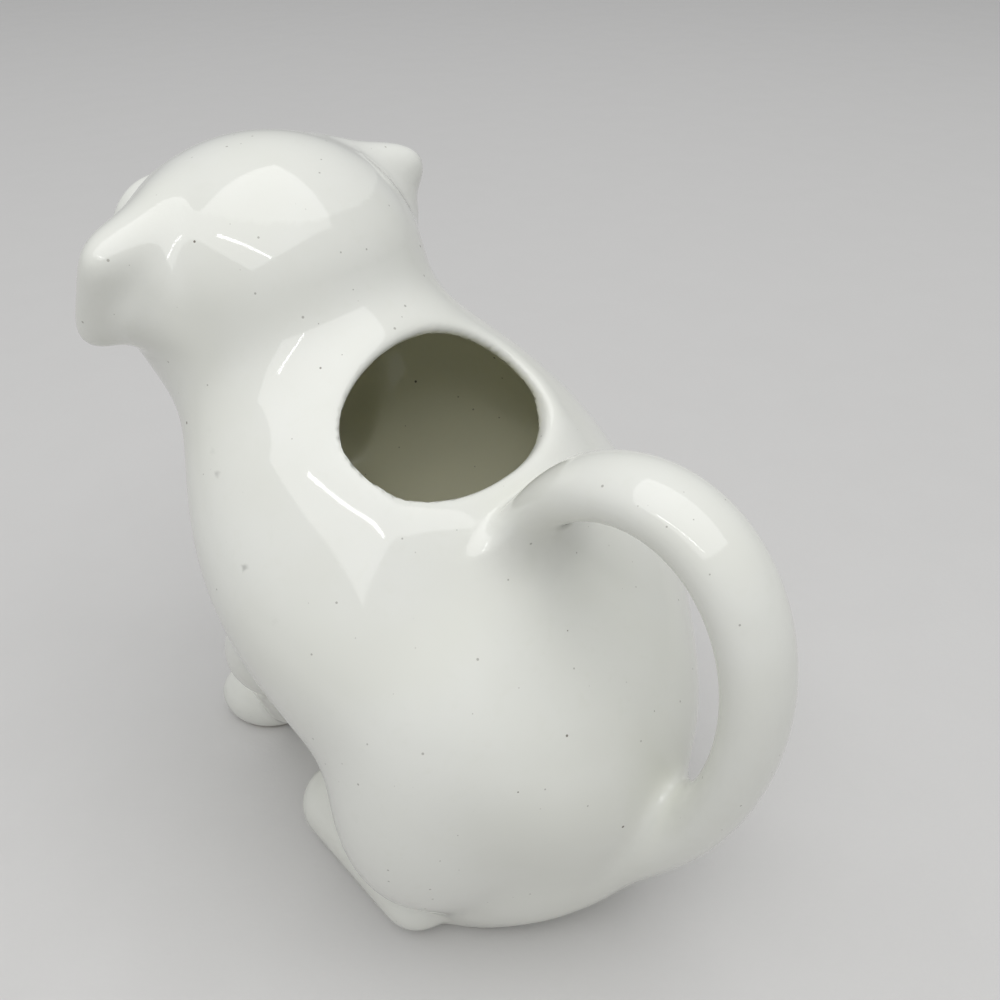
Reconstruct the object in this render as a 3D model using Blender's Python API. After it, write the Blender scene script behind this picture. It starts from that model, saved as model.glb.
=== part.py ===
"""Pig creamer: a seated pig cast hollow in white earthenware, filled through the back of the neck,
poured through the nostrils and lifted by a loop handle. Metres, +Z up, the pig faces -Y."""

import math

import bmesh
import bpy
import numpy as np
from mathutils import Matrix, Vector

# Torso: oval sections stacked up the body. Heights, half widths, half depths, and how far back
# (+) or forward (-) of the middle of the base each section sits.
BASE_HALF_WIDTH = 0.023
BASE_HALF_DEPTH = 0.030
SEAT_HEIGHT = 0.010
SEAT_HALF_WIDTH = 0.0312
SEAT_HALF_DEPTH = 0.0373
SEAT_SETBACK = 0.0013
RUMP_HEIGHT = 0.025
RUMP_HALF_WIDTH = 0.0350
RUMP_HALF_DEPTH = 0.0405
RUMP_SETBACK = 0.0028
BELLY_HEIGHT = 0.045
BELLY_HALF_WIDTH = 0.0386
BELLY_HALF_DEPTH = 0.0420
BELLY_SETBACK = 0.0034
RIB_HEIGHT = 0.065
RIB_HALF_WIDTH = 0.0435
RIB_HALF_DEPTH = 0.0415
RIB_SETBACK = -0.0050
SHOULDER_HEIGHT = 0.085
SHOULDER_HALF_WIDTH = 0.0420
SHOULDER_HALF_DEPTH = 0.0346
SHOULDER_SETBACK = -0.0176
NECK_HEIGHT = 0.105
NECK_HALF_WIDTH = 0.0275
NECK_HALF_DEPTH = 0.0293
NECK_SETBACK = -0.0324
NAPE_ABOVE_HEAD = 0.0075
NAPE_HALF_WIDTH = 0.0083
NAPE_HALF_DEPTH = 0.0103
NAPE_BEHIND_HEAD = 0.0026

# Breast between the forelegs, haunches at the sides, and the head.
BREAST_HALF_WIDTH = 0.016
BREAST_HALF_DEPTH = 0.016
BREAST_HALF_HEIGHT = 0.042
BREAST_FORWARD = 0.037
HAUNCH_OUT = 0.0235
HAUNCH_BACK = 0.008
HAUNCH_HEIGHT = 0.023
HAUNCH_HALF_WIDTH = 0.0145
HAUNCH_HALF_DEPTH = 0.026
HAUNCH_HALF_HEIGHT = 0.0235
OVERALL_HEIGHT = 0.140
HEAD_FORWARD = 0.052
HEAD_HALF_WIDTH = 0.0292
HEAD_HALF_DEPTH = 0.0279
HEAD_HALF_HEIGHT = 0.0249
NECK_BLEND = 0.0117
FLESH_BLEND = 0.007

# Casting: the clay is this thick at the sides and at the bottom, and pieces that are stuck on with
# slip sit this far off the body.
WALL = 0.004
FLOOR = 0.005
LUTING_GAP = 0.0003

# Fill opening at the back of the neck, placed from the neck section.
FILL_HALF_WIDTH = 0.0195
FILL_HALF_LENGTH = 0.0147
FILL_BEHIND_NECK = 0.0282
FILL_BELOW_NECK = 0.0028
FILL_LEAN_DEG = 33.0

# Snout: a short cup on the face. The nostrils are the pour holes.
SNOUT_REACH = 0.0390
SNOUT_DROP = 0.0016
SNOUT_ROOT_RADIUS = 0.0170
NOSE_RADIUS = 0.0120
NOSE_EDGE = 0.0025
NOSE_PLATE = 0.0040
POUR_RADIUS = 0.0090
NOSTRIL_SPREAD = 0.0048
NOSTRIL_HALF_WIDTH = 0.0031
NOSTRIL_HALF_HEIGHT = 0.0041
ALONG_SNOUT_DEG = 90.0

# Ears: thick lop ears, broad and blunt, standing out from the sides of the head.
EAR_OUT = 0.0212
EAR_FORWARD = 0.0032
EAR_RISE = 0.0066
EAR_HALF_LENGTH = 0.0184
EAR_HALF_DROP = 0.0117
EAR_HALF_THICKNESS = 0.0066
EAR_BLUNTNESS = 2.75
EAR_FLAT_SHARE = 0.015
EAR_SWEEP_DEG = 13.0
EAR_LEAN_DEG = 5.0

# Forelegs with their feet, and the hind feet beside the haunches.
FORELEG_TOP_OUT = 0.0186
FORELEG_TOP_FORWARD = 0.0440
FORELEG_TOP_HEIGHT = 0.0452
FORELEG_TOP_RADIUS = 0.0110
ANKLE_OUT = 0.0135
ANKLE_FORWARD = 0.0500
ANKLE_RADIUS = 0.0079
ANKLE_HEIGHT = 0.0092
FOREFOOT_OUT = 0.0142
FOREFOOT_FORWARD = 0.0595
FOREFOOT_HALF_WIDTH = 0.0093
FOREFOOT_HALF_LENGTH = 0.0117
FOREFOOT_TOP = 0.0132
FOREFOOT_MIDDLE = 0.0046
HIND_TOE_OUT = 0.0239
HIND_TOE_FORWARD = 0.0197
HIND_TOE_RADIUS = 0.0086
HIND_TOE_HEIGHT = 0.0074
HEEL_OUT = 0.0277
HEEL_BACK = 0.0081
HEEL_RADIUS = 0.0072
HEEL_HEIGHT = 0.0062

# Handle: an oval bar bent along part of an oval loop in the middle plane of the pig.
LOOP_BACK = 0.0279
LOOP_HEIGHT = 0.0592
LOOP_LONG_RADIUS = 0.0464
LOOP_SHORT_RADIUS = 0.0290
LOOP_LEAN_DEG = 72.8
LOOP_TOP_DEG = 66.0
LOOP_END_DEG = -168.0
BAR_HALF_WIDTH = 0.0076
BAR_HALF_THICKNESS = 0.0051
BAR_ROOT_SWELL = 0.35
ROOT_SHARE = 0.3

# How finely the surfaces are divided.
AROUND_BODY = 44
AROUND_CAVITY = 36
AROUND_LIMB = 24
RINGS_BODY = 34
RINGS_CAVITY = 24
RINGS_LIMB = 14
AROUND_FOOT = 32
AROUND_OPENING = 44
RINGS_FOOT = 7
STEPS_HANDLE = 34
CROWN_STEP = 0.0006
SEARCH_REACH = 0.09

GLAZE_WHITE = (0.80, 0.80, 0.77, 1.0)
GLAZE_ROUGHNESS = 0.08

HEAD = np.array([0.0, -HEAD_FORWARD, OVERALL_HEIGHT - HEAD_HALF_HEIGHT])
EAR = HEAD + np.array([EAR_OUT, -EAR_FORWARD, EAR_RISE])
SNOUT = HEAD - np.array([0.0, 0.0, SNOUT_DROP])


def spline(at, heights, values):
    """A natural cubic curve through values at the given heights."""
    heights = np.asarray(heights)
    values = np.asarray(values)
    steps = np.diff(heights)
    slopes = np.diff(values) / steps
    system = np.eye(len(heights))
    bends = np.zeros(len(heights))
    for i in range(1, len(heights) - 1):
        system[i, i - 1 : i + 2] = steps[i - 1], 2 * (steps[i - 1] + steps[i]), steps[i]
        bends[i] = 6 * (slopes[i] - slopes[i - 1])
    curve = np.linalg.solve(system, bends)
    at = np.clip(at, heights[0], heights[-1])
    i = np.clip(np.searchsorted(heights, at) - 1, 0, len(steps) - 1)
    up = at - heights[i]
    first = slopes[i] - steps[i] * (2 * curve[i] + curve[i + 1]) / 6
    third = (curve[i + 1] - curve[i]) / (6 * steps[i])
    return values[i] + up * (first + up * (curve[i] / 2 + up * third))


def blended(a, b, reach):
    """Two forms run together, as soft clay does, over the given reach."""
    mix = np.clip(0.5 + 0.5 * (b - a) / reach, 0, 1)
    return b + (a - b) * mix - reach * mix * (1 - mix)


def oval(points, middle, radii):
    """Roughly the distance to an egg-like form with these half sizes."""
    scaled = (points - np.array(middle)) / np.array(radii)
    size = np.linalg.norm(scaled, axis=-1) + 1e-12
    slope = np.linalg.norm(scaled / np.array(radii), axis=-1) + 1e-9
    return size * (size - 1) / slope


def rod(points, start, end, start_radius, end_radius):
    """Distance to a round bar that tapers from one ball to another."""
    line = np.array(end) - np.array(start)
    along = np.clip((points - np.array(start)) @ line / (line @ line), 0, 1)
    away = np.linalg.norm(points - np.array(start) - along[..., None] * line, axis=-1)
    return away - (start_radius + (end_radius - start_radius) * along)


STATIONS = [0, SEAT_HEIGHT, RUMP_HEIGHT, BELLY_HEIGHT, RIB_HEIGHT, SHOULDER_HEIGHT, NECK_HEIGHT,
            HEAD[2] + NAPE_ABOVE_HEAD]
WIDTHS = [BASE_HALF_WIDTH, SEAT_HALF_WIDTH, RUMP_HALF_WIDTH, BELLY_HALF_WIDTH, RIB_HALF_WIDTH,
          SHOULDER_HALF_WIDTH, NECK_HALF_WIDTH, NAPE_HALF_WIDTH]
DEPTHS = [BASE_HALF_DEPTH, SEAT_HALF_DEPTH, RUMP_HALF_DEPTH, BELLY_HALF_DEPTH, RIB_HALF_DEPTH,
          SHOULDER_HALF_DEPTH, NECK_HALF_DEPTH, NAPE_HALF_DEPTH]
SETBACKS = [0, SEAT_SETBACK, RUMP_SETBACK, BELLY_SETBACK, RIB_SETBACK, SHOULDER_SETBACK,
            NECK_SETBACK, HEAD[1] + NAPE_BEHIND_HEAD]


def torso_form(points):
    heights = points[..., 2]
    width = np.maximum(spline(heights, STATIONS, WIDTHS), WALL / 2)
    depth = np.maximum(spline(heights, STATIONS, DEPTHS), WALL / 2)
    across = points[..., 0]
    back = points[..., 1] - spline(heights, STATIONS, SETBACKS)
    size = np.hypot(across / width, back / depth) + 1e-9
    slope = np.hypot(across / width**2, back / depth**2) + 1e-9
    sides = np.where(size < 1e-3, -np.minimum(width, depth), size * (size - 1) / slope)
    return np.maximum(sides, heights - STATIONS[-1])


def body_form(points):
    """Torso, breast, haunches and head as one soft form; negative inside."""
    folded = np.concatenate([np.abs(points[..., :1]), points[..., 1:]], axis=-1)
    breast = oval(points, (0, -BREAST_FORWARD, BREAST_HALF_HEIGHT),
                  (BREAST_HALF_WIDTH, BREAST_HALF_DEPTH, BREAST_HALF_HEIGHT))
    haunch = oval(folded, (HAUNCH_OUT, HAUNCH_BACK, HAUNCH_HEIGHT),
                  (HAUNCH_HALF_WIDTH, HAUNCH_HALF_DEPTH, HAUNCH_HALF_HEIGHT))
    head = oval(points, HEAD, (HEAD_HALF_WIDTH, HEAD_HALF_DEPTH, HEAD_HALF_HEIGHT))
    form = blended(torso_form(points), breast, FLESH_BLEND)
    form = blended(form, haunch, FLESH_BLEND)
    return blended(form, head, NECK_BLEND)


def body_spine(heights):
    """The line up the middle of the body that its sections are measured from."""
    marks = [0, BELLY_HEIGHT, SHOULDER_HEIGHT, NECK_HEIGHT, HEAD[2], OVERALL_HEIGHT]
    return np.interp(heights, marks, [0, 0, SHOULDER_SETBACK, NECK_SETBACK, HEAD[1], HEAD[1]])


def ear_form(points):
    """A blunt flat lobe on the pig's left, which is +X."""
    turn = Matrix.Rotation(math.radians(EAR_SWEEP_DEG), 3, "Z")
    turn = np.array(turn @ Matrix.Rotation(math.radians(EAR_LEAN_DEG), 3, "Y"))
    local = (points - EAR) @ turn
    part = np.abs(local) / np.array([EAR_HALF_LENGTH, EAR_HALF_THICKNESS, EAR_HALF_DROP])
    face = (part[..., 0] ** EAR_BLUNTNESS + part[..., 2] ** EAR_BLUNTNESS) ** (1 / EAR_BLUNTNESS)
    return (np.hypot(face, part[..., 1]) - 1) * EAR_HALF_THICKNESS


def foreleg_form(points):
    leg = rod(points, (FORELEG_TOP_OUT, -FORELEG_TOP_FORWARD, FORELEG_TOP_HEIGHT),
              (ANKLE_OUT, -ANKLE_FORWARD, ANKLE_HEIGHT), FORELEG_TOP_RADIUS, ANKLE_RADIUS)
    foot = oval(points, (FOREFOOT_OUT, -FOREFOOT_FORWARD, FOREFOOT_MIDDLE),
                (FOREFOOT_HALF_WIDTH, FOREFOOT_HALF_LENGTH, FOREFOOT_TOP - FOREFOOT_MIDDLE))
    return blended(leg, foot, FLESH_BLEND)


def hind_foot_form(points):
    return rod(points, (HIND_TOE_OUT, -HIND_TOE_FORWARD, HIND_TOE_HEIGHT),
               (HEEL_OUT, HEEL_BACK, HEEL_HEIGHT), HIND_TOE_RADIUS, HEEL_RADIUS)


def placed_object(name, points, faces, place):
    """A closed mesh whose own origin is at the given place on the pig."""
    mesh = bpy.data.meshes.new(name)
    mesh.from_pydata([tuple(p) for p in points - np.array(place)], [], faces)
    solid = bmesh.new()
    solid.from_mesh(mesh)
    bmesh.ops.remove_doubles(solid, verts=solid.verts, dist=1e-6)
    bmesh.ops.recalc_face_normals(solid, faces=solid.faces)
    solid.to_mesh(mesh)
    solid.free()
    made = bpy.data.objects.new(name, mesh)
    made.location = place
    made.parent = pig
    bpy.context.scene.collection.objects.link(made)
    return made


def clay_piece(name, points, faces, place):
    piece = placed_object(name, points, faces, place)
    glaze = bpy.data.materials.new(name + "_glaze")
    glaze.use_nodes = True
    shader = glaze.node_tree.nodes["Principled BSDF"]
    shader.inputs["Base Color"].default_value = GLAZE_WHITE
    shader.inputs["Roughness"].default_value = GLAZE_ROUGHNESS
    piece.data.materials.append(glaze)
    piece.data.shade_smooth()
    return piece


def clay_cutter(name, points, faces, place):
    cutter = placed_object(name, points, faces, place)
    cutter.hide_render = True
    cutter.display_type = "WIRE"
    return cutter


def top_of(form, spine, low):
    """Height at which the form closes over its spine."""
    heights = np.linspace(low, low + 2 * OVERALL_HEIGHT, 3001)
    middle = np.stack([spine(heights)[0], spine(heights)[1], heights], axis=-1)
    inside = form(middle) < 0
    return heights[np.nonzero(inside)[0].max()]


def stacked(form, spine, low, rings, around):
    """Rings of points where level cuts meet the form, from a flat bottom up to a rounded top."""
    high = top_of(form, spine, low)
    share = np.linspace(0, 1, rings + 1)
    heights = low + (high - low) * (0.4 * share + 0.6 * np.sin(share * math.pi / 2))[:-1]
    heights = np.append(heights, high - CROWN_STEP)
    angles = np.linspace(0, 2 * math.pi, around, endpoint=False)
    out = np.stack([np.cos(angles), np.sin(angles), np.zeros(around)], axis=-1)
    middle = np.stack([spine(heights)[0], spine(heights)[1], heights], axis=-1)[:, None, :]
    near = np.zeros((len(heights), around))
    far = np.full((len(heights), around), SEARCH_REACH)
    for _ in range(40):
        reach = (near + far) / 2
        inside = form(middle + reach[..., None] * out) < 0
        near = np.where(inside, reach, near)
        far = np.where(inside, far, reach)
    points = (middle + near[..., None] * out).reshape(-1, 3)
    points = np.vstack([points, [spine(heights[-1:])[0][0], spine(heights[-1:])[1][0], high]])
    faces = [tuple(range(around))]
    for ring in range(len(heights) - 1):
        for i in range(around):
            a = ring * around + i
            b = ring * around + (i + 1) % around
            faces.append((a, b, b + around))
            faces.append((a, b + around, a + around))
    last = (len(heights) - 1) * around
    for i in range(around):
        faces.append((last + i, last + (i + 1) % around, len(points) - 1))
    return points, faces


def straight(out, back):
    """An upright spine at one place."""
    return lambda heights: (np.full_like(heights, out), np.full_like(heights, back))


def upright_body(heights):
    return np.zeros_like(heights), body_spine(heights)


def cut(target, cutter):
    boolean = target.modifiers.new("cut_" + cutter.name, "BOOLEAN")
    boolean.operation = "DIFFERENCE"
    boolean.solver = "EXACT"
    boolean.object = cutter


def oval_bar(name, length, half_x, half_y, place, lean_deg):
    """An oval bar through a place, leaning back from upright, used to cut an opening."""
    angles = 2 * math.pi * (np.arange(AROUND_OPENING) + 0.5) / AROUND_OPENING
    ring = np.stack([half_x * np.cos(angles), half_y * np.sin(angles), np.zeros(AROUND_OPENING)], axis=-1)
    middle = np.array([0, 0, length / 2])
    faces = [tuple(range(AROUND_OPENING)), tuple(range(AROUND_OPENING, 2 * AROUND_OPENING))]
    for i in range(AROUND_OPENING):
        j = (i + 1) % AROUND_OPENING
        faces.append((i, j, j + AROUND_OPENING, i + AROUND_OPENING))
    bar = clay_cutter(name, np.vstack([ring - middle, ring + middle]), faces, (0, 0, 0))
    bar.location = place
    bar.rotation_euler.x = -math.radians(lean_deg)
    return bar


for leftover in list(bpy.data.objects):
    bpy.data.objects.remove(leftover)
pig = bpy.data.objects.new("pig_creamer", None)
bpy.context.scene.collection.objects.link(pig)
BASE = (0, 0, 0)

# Body shell: torso, neck and head cast in one, hollow, open at the back of the neck and at the face.
body_shell = clay_piece("body_shell", *stacked(body_form, upright_body, 0.0, RINGS_BODY, AROUND_BODY), BASE)
cavity = clay_cutter("cavity", *stacked(lambda p: body_form(p) + WALL, upright_body, FLOOR, RINGS_CAVITY,
                                        AROUND_CAVITY), BASE)
luting_points = [v.co + LUTING_GAP * v.normal for v in body_shell.data.vertices]
luting_face = clay_cutter("luting_face", np.array(luting_points),
                          [tuple(f.vertices) for f in body_shell.data.polygons], BASE)
fill_place = (0, NECK_SETBACK + FILL_BEHIND_NECK, NECK_HEIGHT - FILL_BELOW_NECK)
fill_cutter = oval_bar("fill_cutter", 2 * HEAD_HALF_HEIGHT, FILL_HALF_WIDTH, FILL_HALF_LENGTH,
                       fill_place, FILL_LEAN_DEG)
pour_place = SNOUT - np.array([0, SNOUT_REACH / 2, 0])
pour_cutter = oval_bar("pour_cutter", SNOUT_REACH, POUR_RADIUS, POUR_RADIUS, pour_place, ALONG_SNOUT_DEG)
for cutter in (cavity, fill_cutter, pour_cutter):
    cut(body_shell, cutter)

# Snout: a turned cup, open towards the head, with two nostrils through its plate.
plate_back = SNOUT_REACH - NOSE_PLATE
snout_profile = [
    (SNOUT_ROOT_RADIUS, 0.0),
    (NOSE_RADIUS - NOSE_EDGE / 3, SNOUT_REACH - 2.2 * NOSE_EDGE),
    (NOSE_RADIUS, SNOUT_REACH - 1.2 * NOSE_EDGE),
    (NOSE_RADIUS - NOSE_EDGE / 4, SNOUT_REACH - NOSE_EDGE / 3),
    (NOSE_RADIUS - NOSE_EDGE, SNOUT_REACH),
    (0.0, SNOUT_REACH),
    (0.0, plate_back),
    (POUR_RADIUS, plate_back),
    (POUR_RADIUS, 0.0),
]
turn = np.linspace(0, 2 * math.pi, AROUND_LIMB, endpoint=False)
snout_points = []
for radius, reach in snout_profile:
    ring = np.stack([radius * np.cos(turn), np.full(AROUND_LIMB, -reach), radius * np.sin(turn)], axis=-1)
    snout_points.append(SNOUT + ring)
snout_faces = []
for ring, (radius, reach) in enumerate(snout_profile):
    following = (ring + 1) % len(snout_profile)
    if radius == 0 and snout_profile[following][0] == 0:
        continue
    for i in range(AROUND_LIMB):
        j = (i + 1) % AROUND_LIMB
        snout_faces.append((ring * AROUND_LIMB + i, ring * AROUND_LIMB + j,
                            following * AROUND_LIMB + j, following * AROUND_LIMB + i))
snout = clay_piece("snout", np.vstack(snout_points), snout_faces, SNOUT)
for side, label in ((1, "left"), (-1, "right")):
    nostril_place = SNOUT + np.array([side * NOSTRIL_SPREAD, -SNOUT_REACH, 0])
    cut(snout, oval_bar("nostril_cutter_" + label, 4 * NOSE_PLATE, NOSTRIL_HALF_WIDTH, NOSTRIL_HALF_HEIGHT,
                        nostril_place, ALONG_SNOUT_DEG))
cut(snout, luting_face)


def pair(name, shape, place):
    """A solid piece on the pig's left and its mirror image on the right, both luted to the body."""
    points, faces = shape
    for side, label in ((1, "left"), (-1, "right")):
        mirrored = np.array([side, 1, 1])
        made = clay_piece(name + "_" + label, points * mirrored, faces, np.array(place) * mirrored)
        cut(made, luting_face)


# Ears: each lobe starts on a small flat where it would meet the mould's floor.
ear_low = EAR[2] - (1 - EAR_FLAT_SHARE) * EAR_HALF_DROP
pair("ear", stacked(ear_form, straight(EAR[0], EAR[1]), ear_low, RINGS_LIMB, AROUND_LIMB), EAR)


def foreleg_spine(heights):
    """Up through the foot and then along the leg."""
    middle = (ANKLE_FORWARD + FOREFOOT_FORWARD) / 2
    marks = [0, ANKLE_HEIGHT, 2 * ANKLE_HEIGHT, FORELEG_TOP_HEIGHT]
    out = np.interp(heights, marks, [FOREFOOT_OUT, FOREFOOT_OUT, ANKLE_OUT, FORELEG_TOP_OUT])
    ahead = np.interp(heights, marks, [middle, middle, ANKLE_FORWARD, FORELEG_TOP_FORWARD])
    return out, -ahead


# Forelegs with their feet, and the hind feet lying beside the haunches.
pair("foreleg", stacked(foreleg_form, foreleg_spine, 0.0, RINGS_LIMB, AROUND_FOOT),
     (ANKLE_OUT, -ANKLE_FORWARD, 0))
hind_out = (HIND_TOE_OUT + HEEL_OUT) / 2
hind_back = (HEEL_BACK - HIND_TOE_FORWARD) / 2
pair("hind_foot", stacked(hind_foot_form, straight(hind_out, hind_back), 0.0, RINGS_FOOT, AROUND_FOOT),
     (hind_out, hind_back, 0))

# Handle: the bar's oval section carried round the loop, swelling towards both roots.
loop = np.array([0.0, LOOP_BACK, LOOP_HEIGHT])
lean = Matrix.Rotation(math.radians(LOOP_LEAN_DEG), 2)
handle_points = []
handle_faces = []
for step in range(STEPS_HANDLE + 1):
    share = step / STEPS_HANDLE
    angle = math.radians(LOOP_TOP_DEG + (LOOP_END_DEG - LOOP_TOP_DEG) * share)
    middle = lean @ Vector((LOOP_LONG_RADIUS * math.cos(angle), LOOP_SHORT_RADIUS * math.sin(angle)))
    heading = lean @ Vector((-LOOP_LONG_RADIUS * math.sin(angle), LOOP_SHORT_RADIUS * math.cos(angle)))
    heading.normalize()
    swell = 1 + BAR_ROOT_SWELL * max(0.0, 1 - min(share, 1 - share) / ROOT_SHARE) ** 2
    for i in range(AROUND_LIMB):
        round_bar = 2 * math.pi * i / AROUND_LIMB
        outward = BAR_HALF_THICKNESS * swell * math.cos(round_bar)
        sideways = BAR_HALF_WIDTH * swell * math.sin(round_bar)
        handle_points.append(loop + np.array([sideways, middle.x + heading.y * outward,
                                              middle.y - heading.x * outward]))
for step in range(STEPS_HANDLE):
    for i in range(AROUND_LIMB):
        a = step * AROUND_LIMB + i
        b = step * AROUND_LIMB + (i + 1) % AROUND_LIMB
        handle_faces.append((a, b, b + AROUND_LIMB, a + AROUND_LIMB))
handle_faces.append(tuple(range(AROUND_LIMB)))
handle_faces.append(tuple(STEPS_HANDLE * AROUND_LIMB + i for i in range(AROUND_LIMB)))
handle = clay_piece("handle", np.array(handle_points), handle_faces, loop)
cut(handle, luting_face)
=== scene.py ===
"""Pig creamer: the finished look of a seated pig jug in white glazed earthenware.
Metres, +Z up. The pig faces -Y, and its own left is +X."""

import math

import bpy
import numpy as np
from mathutils import Matrix, Vector


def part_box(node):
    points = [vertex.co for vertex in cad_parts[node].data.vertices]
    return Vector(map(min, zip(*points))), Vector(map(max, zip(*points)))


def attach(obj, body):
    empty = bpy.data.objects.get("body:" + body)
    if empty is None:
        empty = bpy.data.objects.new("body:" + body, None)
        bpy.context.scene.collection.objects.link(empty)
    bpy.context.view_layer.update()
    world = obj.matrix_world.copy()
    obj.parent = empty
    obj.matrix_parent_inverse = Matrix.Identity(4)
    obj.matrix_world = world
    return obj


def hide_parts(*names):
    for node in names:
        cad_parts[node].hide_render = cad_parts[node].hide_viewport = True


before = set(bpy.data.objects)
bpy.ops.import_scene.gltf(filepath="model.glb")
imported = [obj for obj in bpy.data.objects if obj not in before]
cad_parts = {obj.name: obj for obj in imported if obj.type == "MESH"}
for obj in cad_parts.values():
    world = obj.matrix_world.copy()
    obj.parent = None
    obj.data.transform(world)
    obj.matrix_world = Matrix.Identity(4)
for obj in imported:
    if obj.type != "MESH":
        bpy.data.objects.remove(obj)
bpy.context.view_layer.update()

# Body shell. Torso, haunches, neck and head of white earthenware, slip-cast hollow in a plaster
# mould and glazed inside and out. The opening at the back of the neck was cut with a knife while the
# clay was leather-hard, and its lip sponged round. The foot is wiped dry of glaze so it doesn't stick.
BODY_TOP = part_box("body_shell")[1].z

# Each row is one oval section of the torso: height, half width, half depth, middle (back is +).
TORSO = np.array([
    [0.0000, 0.0306, 0.0300, 0.0000],
    [0.0100, 0.0318, 0.0373, 0.0013],
    [0.0250, 0.0325, 0.0405, 0.0028],
    [0.0450, 0.0380, 0.0420, 0.0034],
    [0.0650, 0.0435, 0.0415, -0.0050],
    [0.0850, 0.0420, 0.0346, -0.0176],
    [0.1050, 0.0275, 0.0293, -0.0324],
    [0.1226, 0.0083, 0.0103, -0.0494],
])
BREAST = (0, -0.037, 0.042)
BREAST_HALF = (0.016, 0.016, 0.042)
BREAST_FLOW = 0.0105
HAUNCH = (0.0172, 0.0110, 0.0425)
HAUNCH_HALF = (0.0269, 0.0198, 0.0360)
HAUNCH_FLOW = 0.008
HEAD_HALF = np.array([0.0292, 0.0279, 0.0249])
HEAD = np.array([0, -0.052, BODY_TOP - HEAD_HALF[2]])
NECK_FLOW = 0.0175
JOWL = (0.0086, -0.0483, 0.0957)
JOWL_HALF = (0.0139, 0.0147, 0.0289)
JOWL_FLOW = 0.008
EYE = (0.0120, -0.0756, 0.1228)
EYE_HALF = (0.0028, 0.0018, 0.0032)
EYE_FLOW = 0.0012
FOOT_ROUNDING = 0.004

WALL = 0.0042
FLOOR = 0.005
FILL_MIDDLE = np.array([-0.0012, -0.0062, 0.1023])
FILL_LEAN = math.radians(36)
FILL_HALF_WIDTH = 0.0213
FILL_HALF_LENGTH = 0.0145
FILL_SQUARENESS = 2.2
FILL_SLANT = np.array([0.30, 0.12])
FILL_DEPTH = 0.016
SHELF = np.array([0, 0.0125, 0.0902])
SHELF_LEAN = math.radians(30)
SHELF_MIDDLE = 0.014
SHELF_RADIUS = 0.024
SHELF_EDGE = 0.004
COLLAR_RISE = 0.0005
COLLAR_WIDTH = 0.006
LIP_OUTSIDE = 0.0042
LIP_INSIDE = 0.0020
POUR_RADIUS = 0.009
POUR_MIDDLE = HEAD - np.array([0, 0, 0.0016])

BODY_CELL = 0.0010
BODY_SPREAD = 0.002
MARGIN_CELLS = 2.5
EVENING_SWEEPS = 6
SURFACE_PULLS = 2
LEAST_STEEPNESS = 0.05
BEND_SWEEPS = 4
NUDGE = 2e-5
MILLIMETRE = 0.001
AXIS_SHARE = 1e-3
TINY = 1e-9

GLAZE = (0.80, 0.805, 0.755, 1)
GLAZE_CLOUD = (0.775, 0.78, 0.72, 1)
# Crease colour, darker than the glaze: partly pooled glaze, partly painted shade.
GLAZE_POOLED_AND_SHADE = (0.62, 0.625, 0.58, 1)
GLAZE_THIN = (0.80, 0.785, 0.72, 1)
# Inside glaze: creamier, with an olive tint and extra brightness painted to stand in for the light in
# the hollow.
INSIDE_GLAZE_AND_LIGHT = (0.86, 0.85, 0.67, 1)
GLAZE_IOR = 1.5
GLAZE_ROUGHNESS = (0.045, 0.08)
IRON_SPECK = (0.11, 0.085, 0.06, 1)
SPECKS = {"Spacing": 0.005, "Radius": 0.00036, "Share": 0.3}
SPECK_STRENGTH = 0.85
SPECK_PIT = 0.2
FAINT_SPECKS = {"Spacing": 0.0026, "Radius": 0.00030, "Share": 0.5}
FAINT_SPECK_STRENGTH = 0.45
SPECK_SIZES = (0.3, 1.0)
SPECK_EDGE = (1.0, 0.6)
CLOUDS = {"Scale": 34.0, "Detail": 3.0}
CLOUD_EDGE = (0.38, 0.66)
GRAINS = {"Scale": 520.0, "Detail": 2.0}
GRAIN_EDGE = (0.52, 0.78)
GRAIN_STRENGTH = (0.0, 0.45)
POOLED_SHADE_BEND = (0.03, 0.30)
THIN_BEND = (-0.12, -0.5)
WAVES = {"Scale": 75.0, "Detail": 1.0}
PEEL = {"Scale": 640.0, "Detail": 1.0}
SKIN = {"Wave": 1.0, "Peel": 0.03}
SKIN_LEVELS = (0.3, 0.8)
SKIN_DEPTH = 0.00006
BARE_CLAY = (0.70, 0.63, 0.53, 1)
BARE_CLAY_ROUGHNESS = 0.85
DRY_FOOT_HEIGHT = 0.0007
RAGS = {"Scale": 260.0, "Detail": 3.0}
RAG_EDGE = (0.3, 0.7)
RAG_HEIGHTS = (0.5, 1.0)
DRY_FOOT_EDGE = (1.0, 0.8)


def section_curve(heights, values, at):
    """A natural cubic curve through the torso's sections."""
    steps = np.diff(heights)
    slopes = np.diff(values) / steps
    bends = np.zeros(len(heights))
    matrix = np.eye(len(heights))
    for i in range(1, len(steps)):
        matrix[i, i - 1 : i + 2] = steps[i - 1], 2 * (steps[i - 1] + steps[i]), steps[i]
        bends[i] = 6 * (slopes[i] - slopes[i - 1])
    curve = np.linalg.solve(matrix, bends)
    at = np.clip(at, heights[0], heights[-1])
    i = np.clip(np.searchsorted(heights, at) - 1, 0, len(steps) - 1)
    up = at - heights[i]
    first = slopes[i] - steps[i] * (2 * curve[i] + curve[i + 1]) / 6
    third = (curve[i + 1] - curve[i]) / (6 * steps[i])
    return values[i] + up * (first + up * (curve[i] / 2 + up * third))


def flow(a, b, reach):
    """Two forms of soft clay run together; a negative value is inside."""
    near = np.maximum(reach - np.abs(a - b), 0) / reach
    return np.minimum(a, b) - reach * near**3 / 6


def carve(clay, hollow, rounding):
    """Clay with a hollow taken out of it, and the edge between them rounded."""
    return -flow(-clay, hollow, rounding)


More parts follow.
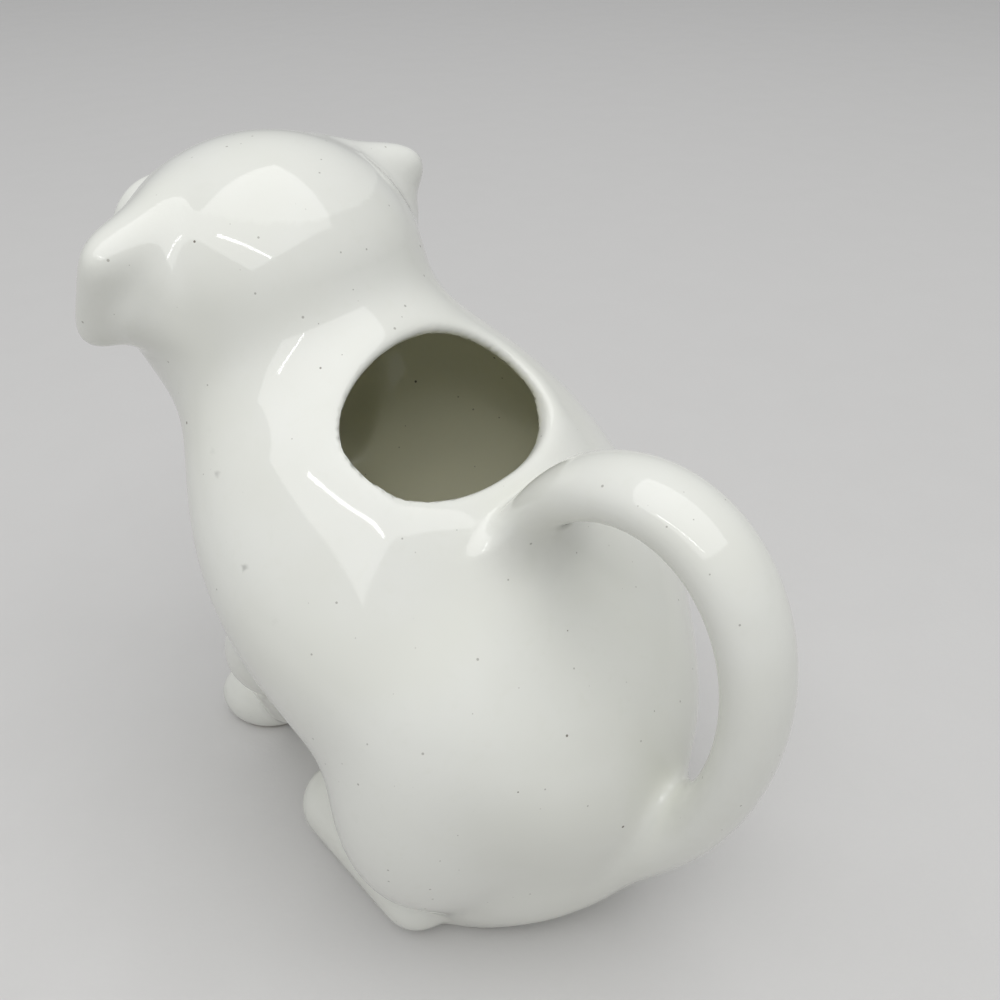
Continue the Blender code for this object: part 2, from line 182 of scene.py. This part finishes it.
def oval(points, middle, half):
    scaled = (points - np.array(middle)) / np.array(half)
    size = np.linalg.norm(scaled, axis=-1) + TINY
    slope = np.linalg.norm(scaled / np.array(half), axis=-1) + TINY
    return size * (size - 1) / slope


def both_sides(points):
    """The same points on the pig's left half, for a form that is alike on both sides."""
    return np.concatenate([np.abs(points[..., :1]), points[..., 1:]], axis=-1)


def torso_form(points):
    heights, half_widths, half_depths, middles = TORSO.T
    height = points[..., 2]
    half_width = np.maximum(section_curve(heights, half_widths, height), WALL / 2)
    half_depth = np.maximum(section_curve(heights, half_depths, height), WALL / 2)
    across = points[..., 0]
    back = points[..., 1] - section_curve(heights, middles, height)
    size = np.hypot(across / half_width, back / half_depth) + TINY
    slope = np.hypot(across / half_width**2, back / half_depth**2) + TINY
    core = -np.minimum(half_width, half_depth)
    sides = np.where(size < AXIS_SHARE, core, size * (size - 1) / slope)
    return np.maximum(sides, height - heights[-1])


def fill_hole(points):
    """Distance to the oval passage at the back of the neck, and height along its own axis. The knife
    was held steeper than the clay, so the passage slants."""
    turn = np.array(Matrix.Rotation(-FILL_LEAN, 3, "X"))
    local = (points - FILL_MIDDLE) @ turn
    half = np.array([FILL_HALF_WIDTH, FILL_HALF_LENGTH])
    part = (local[..., :2] + FILL_SLANT * local[..., 2:]) / half
    across, along = np.moveaxis(np.abs(part) ** FILL_SQUARENESS, -1, 0)
    size = (across + along) ** (1 / FILL_SQUARENESS)
    return (size - 1) * FILL_HALF_LENGTH, local[..., 2]


def passage(points):
    hole, rise = fill_hole(points)
    return np.maximum(hole, -rise - FILL_DEPTH)


def cast_form(points):
    """The outside of the casting without its collar, foot and eyes. A shelf is flattened on the back,
    between the opening and the handle."""
    form = flow(torso_form(points), oval(points, BREAST, BREAST_HALF), BREAST_FLOW)
    form = flow(form, oval(both_sides(points), HAUNCH, HAUNCH_HALF), HAUNCH_FLOW)
    form = flow(form, oval(points, HEAD, HEAD_HALF), NECK_FLOW)
    form = flow(form, oval(both_sides(points), JOWL, JOWL_HALF), JOWL_FLOW)
    above = (points - SHELF) @ np.array([0, math.sin(SHELF_LEAN), math.cos(SHELF_LEAN)])
    beside = np.hypot(points[..., 0], points[..., 1] - SHELF_MIDDLE) - SHELF_RADIUS
    return carve(form, -flow(above, -beside, SHELF_EDGE), SHELF_EDGE)


def body_form(points):
    hole, rise = fill_hole(points)
    collar = COLLAR_RISE * np.exp(-((hole / COLLAR_WIDTH) ** 2)) * (rise > -FILL_DEPTH)
    form = cast_form(points) - collar
    form = flow(form, oval(both_sides(points), EYE, EYE_HALF), EYE_FLOW)
    return carve(form, points[..., 2], FOOT_ROUNDING)


def shell_form(points):
    cavity = np.maximum(cast_form(points) + WALL, FLOOR - points[..., 2])
    pour = np.hypot(points[..., 0], points[..., 2] - POUR_MIDDLE[2]) - POUR_RADIUS
    pour = np.maximum(pour, points[..., 1] - POUR_MIDDLE[1])
    hollow = flow(flow(cavity, passage(points), LIP_INSIDE), pour, LIP_INSIDE)
    return carve(body_form(points), hollow, LIP_OUTSIDE)


def neighbour_mean(values, quads):
    """Each point's values averaged over the points beside it; values has one column or more."""
    corners = np.concatenate([quads.ravel(), quads.ravel()])
    beside = np.concatenate([np.roll(quads, turn, axis=1).ravel() for turn in (1, -1)])
    shares = np.bincount(corners, minlength=len(values))
    totals = [np.bincount(corners, column[beside], len(values)) for column in values.T]
    return np.stack(totals, axis=1) / shares[:, None]


def slope_of(form, points):
    slope = np.empty_like(points)
    for axis in range(3):
        step = NUDGE * np.eye(3)[axis]
        slope[:, axis] = (form(points + step) - form(points - step)) / (2 * NUDGE)
    return slope


def onto_surface(form, points, cell):
    for pull in range(SURFACE_PULLS):
        slope = slope_of(form, points)
        steep = np.maximum((slope**2).sum(axis=1), LEAST_STEEPNESS)
        move = np.clip(form(points) / steep, -cell, cell)
        points = points - move[:, None] * slope
    return points


def skin(form, low, high, cell):
    """Even quads all over a form: one point for each cell that the surface crosses, slid onto it."""
    margin = MARGIN_CELLS * cell
    low = low - margin
    count = np.ceil((high + margin - low) / cell).astype(int) + 1
    level = np.stack(np.meshgrid(*[np.arange(n) for n in count[1:]], indexing="ij"), axis=-1)
    inside = np.empty(count, bool)
    for i in range(count[0]):
        grid = np.concatenate([np.full(level.shape[:2] + (1,), i), level], axis=-1)
        inside[i] = form(low + cell * grid) < 0
    filled = np.zeros(count - 1, np.int8)
    for corner in np.ndindex(2, 2, 2):
        window = tuple(slice(c, c + n - 1) for c, n in zip(corner, count))
        filled += inside[window]
    crossed = (filled > 0) & (filled < 8)
    number = np.full(crossed.shape, -1)
    number[crossed] = np.arange(crossed.sum())
    points = low + cell * (np.argwhere(crossed) + 0.5)
    quads = []
    for axis in range(3):
        step = np.diff(inside.astype(np.int8), axis=axis)
        at = np.argwhere(step)
        one, other = np.delete(np.eye(3, dtype=int), axis, axis=0)
        ring = [number[tuple(cells.T)] for cells in (at, at - one, at - one - other, at - other)]
        ring = np.stack(ring, axis=1)
        turned = (step[tuple(at.T)] > 0) == (axis != 1)
        quads.append(np.where(turned[:, None], ring[:, ::-1], ring))
    quads = np.vstack(quads)
    for sweep in range(EVENING_SWEEPS):
        middle = neighbour_mean(points, quads)
        points = onto_surface(form, (points + middle) / 2, cell)
    return onto_surface(form, points, cell), quads


def shader_node(tree, kind, sockets=None, **settings):
    """One shader node, with its settings and with the values or links of its sockets."""
    made = tree.nodes.new("ShaderNode" + kind)
    for setting, value in settings.items():
        setattr(made, setting, value)
    for socket, value in (sockets or {}).items():
        if isinstance(value, bpy.types.NodeSocket):
            tree.links.new(value, made.inputs[socket])
        else:
            made.inputs[socket].default_value = value
    return made


def maths(tree, operation, first, second):
    return shader_node(tree, "Math", {0: first, 1: second}, operation=operation).outputs[0]


def mixed(tree, share, one, other):
    """One colour laid over another by a share."""
    return shader_node(tree, "Mix", {0: share, 6: one, 7: other}, data_type="RGBA").outputs[2]


def ramped(tree, value, span, ends=(0.0, 1.0)):
    """A value that eases from one end to the other while it crosses the span."""
    sockets = {"Value": value, "From Min": span[0], "From Max": span[1],
               "To Min": ends[0], "To Max": ends[1]}
    return shader_node(tree, "MapRange", sockets, interpolation_type="SMOOTHSTEP").outputs["Result"]


def noise(tree, settings):
    place = shader_node(tree, "TexCoord").outputs["Object"]
    return shader_node(tree, "TexNoise", {"Vector": place, **settings}).outputs["Fac"]


def effect(name, takes, gives):
    """An effect that a material may use more than once: a node group with named sockets."""
    tree = bpy.data.node_groups.new(name, "ShaderNodeTree")
    for in_out, sockets in (("INPUT", takes), ("OUTPUT", gives)):
        for socket, kind in sockets.items():
            tree.interface.new_socket(socket, in_out=in_out, socket_type="NodeSocket" + kind)
    inputs = tree.nodes.new("NodeGroupInput").outputs
    outputs = tree.nodes.new("NodeGroupOutput").inputs
    return tree, inputs, outputs


# Iron specks: a few specks of ore in the glaze, each in its own cell of a loose three-way lattice.
specks, taken, given = effect(
    "iron_specks", {"Spacing": "Float", "Radius": "Float", "Share": "Float"}, {"Mask": "Float"})
place = shader_node(specks, "TexCoord").outputs["Object"]
often = maths(specks, "DIVIDE", 1.0, taken["Spacing"])
cells = shader_node(specks, "TexVoronoi", {"Vector": place, "Scale": often}).outputs
chance = shader_node(specks, "SeparateColor", {"Color": cells["Color"]}).outputs
radius = maths(specks, "MULTIPLY", taken["Radius"], often)
radius = maths(specks, "MULTIPLY", radius, ramped(specks, chance["Green"], (0.0, 1.0), SPECK_SIZES))
spot = ramped(specks, maths(specks, "DIVIDE", cells["Distance"], radius), SPECK_EDGE)
kept = maths(specks, "LESS_THAN", chance["Red"], taken["Share"])
specks.links.new(maths(specks, "MULTIPLY", spot, kept), given["Mask"])

# Glaze depth and crease shade: faint clouds, a darker colour in creases, partly glaze that pooled
# there and partly painted shade, and less colour where the glaze ran off an edge.
depth_and_shade, taken, given = effect(
    "glaze_depth_and_shade", {"Glaze": "Color", "Cloud": "Color", "Pooled_Shade": "Color", "Thin": "Color"},
    {"Color": "Color"})
hollow = shader_node(depth_and_shade, "Attribute", attribute_name="hollow").outputs["Fac"]
clouds = ramped(depth_and_shade, noise(depth_and_shade, CLOUDS), CLOUD_EDGE)
grains = ramped(depth_and_shade, noise(depth_and_shade, GRAINS), GRAIN_EDGE, GRAIN_STRENGTH)
tone = mixed(depth_and_shade, clouds, taken["Glaze"], taken["Cloud"])
tone = mixed(depth_and_shade, grains, tone, taken["Cloud"])
# Painted shade with pooled glaze: creases darken by how hollow they are.
tone = mixed(depth_and_shade, ramped(depth_and_shade, hollow, POOLED_SHADE_BEND), tone, taken["Pooled_Shade"])
tone = mixed(depth_and_shade, ramped(depth_and_shade, hollow, THIN_BEND), tone, taken["Thin"])
depth_and_shade.links.new(tone, given["Color"])

# Glaze skin: the slow waves and the fine orange peel of a glaze that has run and set.
ripples, taken, given = effect("glaze_skin", {"Wave": "Float", "Peel": "Float"}, {"Height": "Float"})
waves = maths(ripples, "MULTIPLY", noise(ripples, WAVES), taken["Wave"])
peel = maths(ripples, "MULTIPLY", noise(ripples, PEEL), taken["Peel"])
ripples.links.new(maths(ripples, "ADD", waves, peel), given["Height"])

# Dry foot: the ragged edge of the glaze that was wiped off what stands on the kiln shelf.
dry_foot, taken, given = effect("dry_foot", {"Height": "Float"}, {"Mask": "Float"})
place = shader_node(dry_foot, "TexCoord").outputs["Object"]
level = shader_node(dry_foot, "SeparateXYZ", {"Vector": place}).outputs["Z"]
rags = ramped(dry_foot, noise(dry_foot, RAGS), RAG_EDGE, RAG_HEIGHTS)
edge = maths(dry_foot, "MULTIPLY", taken["Height"], rags)
bare = ramped(dry_foot, maths(dry_foot, "DIVIDE", level, edge), DRY_FOOT_EDGE)
dry_foot.links.new(bare, given["Mask"])

glaze = bpy.data.materials.new("white_glaze")
glaze.use_nodes = True
coat = glaze.node_tree
spotted = shader_node(coat, "Group", node_tree=specks)
freckled = shader_node(coat, "Group", node_tree=specks)
toned = shader_node(coat, "Group", node_tree=depth_and_shade)
rippled = shader_node(coat, "Group", node_tree=ripples)
wiped = shader_node(coat, "Group", node_tree=dry_foot)
glaze_tones = {"Glaze": GLAZE, "Cloud": GLAZE_CLOUD, "Pooled_Shade": GLAZE_POOLED_AND_SHADE, "Thin": GLAZE_THIN}
for group, values in ((spotted, SPECKS), (freckled, FAINT_SPECKS), (toned, glaze_tones),
                      (rippled, SKIN), (wiped, {"Height": DRY_FOOT_HEIGHT})):
    for socket, value in values.items():
        group.inputs[socket].default_value = value
within = shader_node(coat, "Attribute", attribute_name="inside").outputs["Fac"]
faint = maths(coat, "MULTIPLY", freckled.outputs["Mask"], FAINT_SPECK_STRENGTH)
strong = maths(coat, "MULTIPLY", spotted.outputs["Mask"], SPECK_STRENGTH)
# Inside, painted light: the olive, brighter glaze stands in for the light in the hollow.
colour = mixed(coat, within, toned.outputs["Color"], INSIDE_GLAZE_AND_LIGHT)
colour = mixed(coat, faint, colour, IRON_SPECK)
colour = mixed(coat, strong, colour, IRON_SPECK)
colour = mixed(coat, wiped.outputs["Mask"], colour, BARE_CLAY)
gloss = ramped(coat, rippled.outputs["Height"], SKIN_LEVELS, GLAZE_ROUGHNESS)
bare = maths(coat, "MULTIPLY", wiped.outputs["Mask"], BARE_CLAY_ROUGHNESS)
pits = maths(coat, "MULTIPLY", spotted.outputs["Mask"], SPECK_PIT)
pitted = maths(coat, "SUBTRACT", rippled.outputs["Height"], pits)
bump = shader_node(coat, "Bump", {"Height": pitted, "Distance": SKIN_DEPTH})
shader = coat.nodes["Principled BSDF"]
coat.links.new(colour, shader.inputs["Base Color"])
coat.links.new(maths(coat, "MAXIMUM", gloss, bare), shader.inputs["Roughness"])
coat.links.new(bump.outputs["Normal"], shader.inputs["Normal"])
shader.inputs["IOR"].default_value = GLAZE_IOR


def clay_piece(name, form, shading, node, cell, spread):
    """One glazed piece that stands for one node, with its creases and edges marked for the glaze's
    tone and for painted shade in the creases. Its root may spread past the node."""
    low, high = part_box(node)
    points, quads = skin(form, np.array(low) - spread, np.array(high) + spread, cell)
    mesh = bpy.data.meshes.new(name)
    mesh.from_pydata(points.tolist(), [], quads.tolist())
    mesh.shade_smooth()
    slope = slope_of(shading, points)
    slope /= np.linalg.norm(slope, axis=1, keepdims=True) + TINY
    mesh.normals_split_custom_set_from_vertices(slope.tolist())
    bend = ((neighbour_mean(points, quads) - points) * slope).sum(axis=1, keepdims=True) / cell**2
    for sweep in range(BEND_SWEEPS):
        bend = neighbour_mean(bend, quads)
    hollow = mesh.attributes.new("hollow", "FLOAT", "POINT")
    hollow.data.foreach_set("value", bend[:, 0] * MILLIMETRE)
    mesh.materials.append(glaze)
    piece = bpy.data.objects.new(name, mesh)
    bpy.context.scene.collection.objects.link(piece)
    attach(piece, "root")
    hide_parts(node)
    return piece


body = clay_piece("body", shell_form, shell_form, "body_shell", BODY_CELL, BODY_SPREAD)
wall_share = -cast_form(np.array([corner.co for corner in body.data.vertices])) / WALL
inner_half = np.clip(2 * wall_share - 1, 0, 1)
body.data.attributes.new("inside", "FLOAT", "POINT").data.foreach_set("value", inner_half)

# Snout. A short cup of the same clay, pressed onto the face with slip. Its flat nose plate has two
# nostrils, and the cream pours through them.
SNOUT_REACH = 0.039
SNOUT_ROOT_RADIUS = 0.0165
SNOUT_WAIST = 0.011
WAIST_TO_TIP = 0.011
NOSE_RADIUS = 0.012
NOSE_RIM = 0.004
NOSE_EDGE = 0.0035
NOSE_PLATE = 0.004
NOSTRIL_SPREAD = 0.0048
NOSTRIL_HALF = (0.0031, 0.0041)
NOSTRIL_EDGE = 0.0018
SNOUT_FLOW = 0.007
SNOUT_SPREAD = 0.014
SET_IN = 0.0018
SEAM_SINK = 0.00025
SEAM_START = 0.55
SEAM_END = 0.72
SMALL_CELL = 0.0008


def eased(share):
    """A share from 0 to 1 that starts and ends gently."""
    share = np.clip(share, 0, 1)
    return share * share * (3 - 2 * share)


def luted(piece, reach):
    """The form of a piece luted onto the body, and the form that its shading follows. Its root flows
    out over the clay, dives under the body's skin at its border and bites a little into the wall."""

    def parts(points):
        clay = carve(body_form(points), passage(points), LIP_OUTSIDE)
        return clay, piece(points), reach(points)

    def form(points):
        clay, own, spread = parts(points)
        border = np.clip((own / spread - SEAM_START) / (1 - SEAM_START), 0, 1)
        grown = flow(clay + SEAM_SINK * border**2, own, spread)
        return np.maximum(grown, np.maximum(-(clay + SET_IN), own - spread))

    def shading(points):
        clay, own, spread = parts(points)
        border = eased(own / (SEAM_START * spread))
        return flow(clay, own, spread * (1 - (1 - SEAM_END) * border))

    return form, shading


def snout_lines(points):
    """How far a point lies in front of the middle of the head, and how far from the snout's axis."""
    ahead = POUR_MIDDLE[1] - points[..., 1]
    away = np.hypot(points[..., 0], points[..., 2] - POUR_MIDDLE[2])
    return ahead, away


def snout_piece(points):
    ahead, away = snout_lines(points)
    marks = [0, SNOUT_REACH - WAIST_TO_TIP, SNOUT_REACH - NOSE_RIM, SNOUT_REACH]
    radius = np.interp(ahead, marks, [SNOUT_ROOT_RADIUS, SNOUT_WAIST, NOSE_RADIUS, NOSE_RADIUS])
    return np.maximum(carve(away - radius, SNOUT_REACH - ahead, NOSE_EDGE), -ahead)


def bored(form):
    """The snout with its bore and its nostrils."""

    def pierced(points):
        ahead, away = snout_lines(points)
        bore = np.maximum(away - POUR_RADIUS, ahead - SNOUT_REACH + NOSE_PLATE)
        across = (np.abs(points[..., 0]) - NOSTRIL_SPREAD) / NOSTRIL_HALF[0]
        upward = (points[..., 2] - POUR_MIDDLE[2]) / NOSTRIL_HALF[1]
        nostril = (np.hypot(across, upward) - 1) * NOSTRIL_HALF[0]
        nostril = np.maximum(nostril, SNOUT_REACH - 2 * NOSE_PLATE - ahead)
        return carve(form(points), np.minimum(bore, nostril), NOSTRIL_EDGE)

    return pierced


snout_forms = [bored(form) for form in luted(snout_piece, lambda points: SNOUT_FLOW)]
clay_piece("nose", *snout_forms, "snout", SMALL_CELL, SNOUT_SPREAD)

# Ears. Thick, blunt lop ears pressed in their own mould, luted to the sides of the head and blended
# with a wet sponge, so that their backs run on from the dome of the head. They flop forwards, and
# their fronts are scooped.
EAR = HEAD + np.array([0.0191, -0.0050, 0.0076])
EAR_HALF = np.array([0.0190, 0.0079, 0.0120])
EAR_TOP_BLUNTNESS = 5.0
EAR_BOTTOM_BLUNTNESS = 6.0
EAR_SWEEP = Matrix.Rotation(math.radians(13), 3, "Z")
EAR_CANT = Matrix.Rotation(math.radians(7), 3, "Y")
EAR_FLOP = Matrix.Rotation(math.radians(-28), 3, "X")
EAR_TURN = np.array(EAR_SWEEP @ EAR_CANT @ EAR_FLOP)
EAR_ROOT = 0.016
EAR_EDGE = 0.008
EAR_LOWER_FLOW = 0.006
EAR_UPPER_FLOW = 0.009
EAR_BACK_FLOW = 0.022
EAR_SPREAD = 0.030
SCOOP = (0.004, -0.0075, -0.0005)
SCOOP_HALF = (0.010, 0.004, 0.0065)
SCOOP_EDGE = 0.003


def ear_piece(points):
    local = (points - EAR) @ EAR_TURN
    wide, thick, tall = np.moveaxis(np.abs(local) / EAR_HALF + TINY, -1, 0)
    blunt = np.where(local[..., 2] > 0, EAR_TOP_BLUNTNESS, EAR_BOTTOM_BLUNTNESS)
    face = (wide**blunt + tall**blunt) ** (1 / blunt)
    size = np.hypot(face, thick)
    lean = np.stack([face * (wide / face) ** (blunt - 1), thick,
                     face * (tall / face) ** (blunt - 1)], axis=-1)
    lobe = size * (size - 1) / np.linalg.norm(lean / EAR_HALF, axis=-1)
    lobe = carve(lobe, oval(local, SCOOP, SCOOP_HALF), SCOOP_EDGE)
    return carve(lobe, points[..., 0] - EAR_ROOT, EAR_EDGE)


def ear_reach(points):
    local = (points - EAR) @ EAR_TURN / EAR_HALF
    upper = eased((local[..., 2] + 1) / 2)
    rim = EAR_LOWER_FLOW + (EAR_UPPER_FLOW - EAR_LOWER_FLOW) * upper
    back = eased(local[..., 1]) * (1 - eased(np.abs(local[..., 2])))
    return rim + (EAR_BACK_FLOW - rim) * back


def mirrored(form):
    return lambda points: form(points * np.array([-1, 1, 1]))


def pair(name, forms, spread):
    """The left piece and its mirror image on the right."""
    for side, turn in (("left", lambda form: form), ("right", mirrored)):
        shapes = [turn(form) for form in forms]
        clay_piece(side + "_" + name, *shapes, name + "_" + side, SMALL_CELL, spread)


pair("ear", luted(ear_piece, ear_reach), EAR_SPREAD)

# Forelegs. Straight front legs with small rounded trotters, cast solid and luted to the breast. The
# upper arm sinks into the shoulder.
SHOULDER = np.array([0.0205, -0.0315, 0.0530])
ELBOW = np.array([0.0178, -0.0462, 0.0335])
ANKLE = np.array([0.0112, -0.0522, 0.0092])
SHOULDER_RADIUS = 0.0110
ELBOW_RADIUS = 0.0098
ANKLE_RADIUS = 0.0079
ELBOW_FLOW = 0.006
FOREFOOT = np.array([0.0135, -0.0606, 0.0046])
FOREFOOT_HALF = (0.0086, 0.0112, 0.0086)
TOE_OUT = math.radians(28)
TOE_FLOW = 0.002
SHIN_FLOW = 0.005
SHOULDER_FLOW = 0.014
FORELEG_SPREAD = 0.026
SOLE_ROUNDING = 0.002


def rod(points, start, end, start_radius, end_radius):
    line = end - start
    along = np.clip((points - start) @ line / (line @ line), 0, 1)
    away = np.linalg.norm(points - start - along[..., None] * line, axis=-1)
    return away - (start_radius + (end_radius - start_radius) * along)


def foreleg_piece(points):
    leg = flow(rod(points, SHOULDER, ELBOW, SHOULDER_RADIUS, ELBOW_RADIUS),
               rod(points, ELBOW, ANKLE, ELBOW_RADIUS, ANKLE_RADIUS), ELBOW_FLOW)
    turn = np.array(Matrix.Rotation(TOE_OUT, 3, "Z"))
    leg = flow(leg, oval((points - FOREFOOT) @ turn, (0, 0, 0), FOREFOOT_HALF), TOE_FLOW)
    return carve(leg, points[..., 2], SOLE_ROUNDING)


def foreleg_reach(points):
    return SHIN_FLOW + (SHOULDER_FLOW - SHIN_FLOW) * eased(points[..., 2] / SHOULDER[2])


pair("foreleg", luted(foreleg_piece, foreleg_reach), FORELEG_SPREAD)

# Hind feet. Small straight feet of the same clay, cast solid. Each is luted along the outside of a
# haunch, with a sharp crease where the two meet.
HIND_TOE = np.array([0.0239, -0.0197, 0.0074])
HEEL = np.array([0.0277, 0.0081, 0.0080])
HIND_TOE_RADIUS = 0.0086
HEEL_RADIUS = 0.0082
HIND_TOE_FLOW = 0.0015
HEEL_FLOW = 0.003
HIND_FOOT_SPREAD = 0.010


def hind_foot_piece(points):
    foot = rod(points, HIND_TOE, HEEL, HIND_TOE_RADIUS, HEEL_RADIUS)
    return carve(foot, points[..., 2], SOLE_ROUNDING)


def hind_foot_reach(points):
    back = eased((points[..., 1] - HIND_TOE[1]) / (HEEL[1] - HIND_TOE[1]))
    return HIND_TOE_FLOW + (HEEL_FLOW - HIND_TOE_FLOW) * back


pair("hind_foot", luted(hind_foot_piece, hind_foot_reach), HIND_FOOT_SPREAD)

# Handle. An oval bar of clay, bent to a loop while soft, luted under the lip and at the rump. The
# roots are smoothed out over the body with a finger, but a crease stays beside the lip.
LOOP_MIDDLE = np.array([0.0279, 0.0592])
LOOP_HALF = (0.0464, 0.0290)
LOOP_LEAN = math.radians(72.8)
LOOP_STEPS = 4
BAR_HALF_WIDTH = 0.0076
BAR_HALF_THICKNESS = 0.0051
NECK_ROOT_FLOW = 0.017
RUMP_ROOT_FLOW = 0.011
LIP_BAND = 0.0042
PARE_EDGE = 0.008
CREASE_FLOW = 0.002
CREASE_FADE = 0.007
HANDLE_SPREAD = 0.020


def loop_distance(across, upward):
    """Distance to the loop's oval in its own plane, by stepping towards the nearest point on it."""
    wide, high = LOOP_HALF
    side = np.abs(across)
    top = np.abs(upward)
    cosine = np.full_like(side, math.sqrt(0.5))
    sine = cosine
    for step in range(LOOP_STEPS):
        bend_side = (wide**2 - high**2) * cosine**3 / wide
        bend_top = (high**2 - wide**2) * sine**3 / high
        radius = np.hypot(wide * cosine - bend_side, high * sine - bend_top)
        reach = np.hypot(side - bend_side, top - bend_top) + TINY
        cosine = np.clip(((side - bend_side) * radius / reach + bend_side) / wide, 0, 1)
        sine = np.clip(((top - bend_top) * radius / reach + bend_top) / high, 0, 1)
        length = np.hypot(cosine, sine) + TINY
        cosine = cosine / length
        sine = sine / length
    return np.hypot(side - wide * cosine, top - high * sine)


def handle_piece(points):
    out = points[..., 1] - LOOP_MIDDLE[0]
    up = points[..., 2] - LOOP_MIDDLE[1]
    along = out * math.cos(LOOP_LEAN) + up * math.sin(LOOP_LEAN)
    over = up * math.cos(LOOP_LEAN) - out * math.sin(LOOP_LEAN)
    away = loop_distance(along, over)
    across = points[..., 0]
    size = np.hypot(across / BAR_HALF_WIDTH, away / BAR_HALF_THICKNESS) + TINY
    slope = np.hypot(across / BAR_HALF_WIDTH**2, away / BAR_HALF_THICKNESS**2) + TINY
    return carve(size * (size - 1) / slope, fill_hole(points)[0] - LIP_BAND, PARE_EDGE)


def handle_reach(points):
    upper = eased((points[..., 2] - LOOP_MIDDLE[1]) / LOOP_HALF[1])
    smoothed = RUMP_ROOT_FLOW + (NECK_ROOT_FLOW - RUMP_ROOT_FLOW) * upper
    clear = eased((fill_hole(points)[0] - LIP_BAND) / CREASE_FADE)
    return CREASE_FLOW + (smoothed - CREASE_FLOW) * clear


handle_forms = luted(handle_piece, handle_reach)
clay_piece("loop_handle", *handle_forms, "handle", SMALL_CELL, HANDLE_SPREAD)

# Studio. A plain pale paper floor under a wide soft box and a narrow strip lamp. The camera looks
# from behind the pig's left shoulder.
FLOOR_HALF = 3.0
PAPER = (0.62, 0.612, 0.60, 1)
PAPER_MOTTLE = (0.61, 0.602, 0.59, 1)
PAPER_ROUGHNESS = (0.66, 0.76)
PAPER_RELIEF = 0.00004
MOTTLE = {"Scale": 40.0, "Detail": 4.0}
MOTTLE_EDGE = (0.3, 0.7)
FIBRES = {"Scale": 900.0, "Detail": 2.0}
ROOM_LIGHT = (0.95, 0.97, 1.0, 1)
ROOM_STRENGTH = 0.33
LAMP_AIM = (0, -0.01, 0.07)
SOFT_BOX_ENDS = ((1.65, 0.25, 1.8), (-0.95, 0.25, 1.8))
SOFT_BOX_WIDTH = 2.4
SOFT_BOX_WATTS = 34
STRIP_ENDS = ((0.50, -0.05, 0.80), (0.40, 0.60, 0.80))
STRIP_WIDTH = 0.02
STRIP_WATTS = 0.5
CAMERA_AIM = Vector((-0.0241, -0.0160, 0.0656))
CAMERA_DISTANCE = 0.21435
CAMERA_AZIMUTH = math.radians(131.94)
CAMERA_PITCH = math.radians(36.04)
CAMERA_LENS = 36.1
CAMERA_CLIP_START = 0.01

floor_mesh = bpy.data.meshes.new("floor")
floor_mesh.from_pydata([(-FLOOR_HALF, -FLOOR_HALF, 0), (FLOOR_HALF, -FLOOR_HALF, 0),
                        (FLOOR_HALF, FLOOR_HALF, 0), (-FLOOR_HALF, FLOOR_HALF, 0)], [], [(0, 1, 2, 3)])
floor = bpy.data.objects.new("floor", floor_mesh)
bpy.context.scene.collection.objects.link(floor)
paper = bpy.data.materials.new("pale_paper")
paper.use_nodes = True
sheet = paper.node_tree
mottle = noise(sheet, MOTTLE)
tone = mixed(sheet, ramped(sheet, mottle, MOTTLE_EDGE), PAPER, PAPER_MOTTLE)
dullness = ramped(sheet, mottle, MOTTLE_EDGE, PAPER_ROUGHNESS)
grain = shader_node(sheet, "Bump", {"Height": noise(sheet, FIBRES), "Distance": PAPER_RELIEF})
shader = sheet.nodes["Principled BSDF"]
sheet.links.new(tone, shader.inputs["Base Color"])
sheet.links.new(dullness, shader.inputs["Roughness"])
sheet.links.new(grain.outputs["Normal"], shader.inputs["Normal"])
floor_mesh.materials.append(paper)

world = bpy.data.worlds.new("room")
bpy.context.scene.world = world
world.use_nodes = True
room = world.node_tree.nodes["Background"]
room.inputs["Color"].default_value = ROOM_LIGHT
room.inputs["Strength"].default_value = ROOM_STRENGTH


def lamp(name, ends, width, watts):
    """A flat lamp that lies between two points and faces the pig."""
    start, end, aim = Vector(ends[0]), Vector(ends[1]), Vector(LAMP_AIM)
    light = bpy.data.lights.new(name, "AREA")
    light.shape = "RECTANGLE"
    light.size = (end - start).length
    light.size_y = width
    light.energy = watts
    box = bpy.data.objects.new(name, light)
    middle = (start + end) / 2
    long_way = (end - start).normalized()
    back = middle - aim
    back = (back - back.dot(long_way) * long_way).normalized()
    turn = Matrix((long_way, back.cross(long_way), back)).transposed()
    box.matrix_world = Matrix.Translation(middle) @ turn.to_4x4()
    bpy.context.scene.collection.objects.link(box)


lamp("soft_box", SOFT_BOX_ENDS, SOFT_BOX_WIDTH, SOFT_BOX_WATTS)
lamp("strip", STRIP_ENDS, STRIP_WIDTH, STRIP_WATTS)

back = Vector((math.sin(CAMERA_AZIMUTH) * math.cos(CAMERA_PITCH),
               -math.cos(CAMERA_AZIMUTH) * math.cos(CAMERA_PITCH), math.sin(CAMERA_PITCH)))
camera = bpy.data.objects.new("camera", bpy.data.cameras.new("camera"))
camera.data.lens = CAMERA_LENS
camera.data.clip_start = CAMERA_CLIP_START
camera.location = CAMERA_AIM + CAMERA_DISTANCE * back
camera.rotation_euler = back.to_track_quat("Z", "Y").to_euler()
bpy.context.scene.collection.objects.link(camera)
bpy.context.scene.camera = camera
bpy.context.scene.view_settings.view_transform = "Standard"
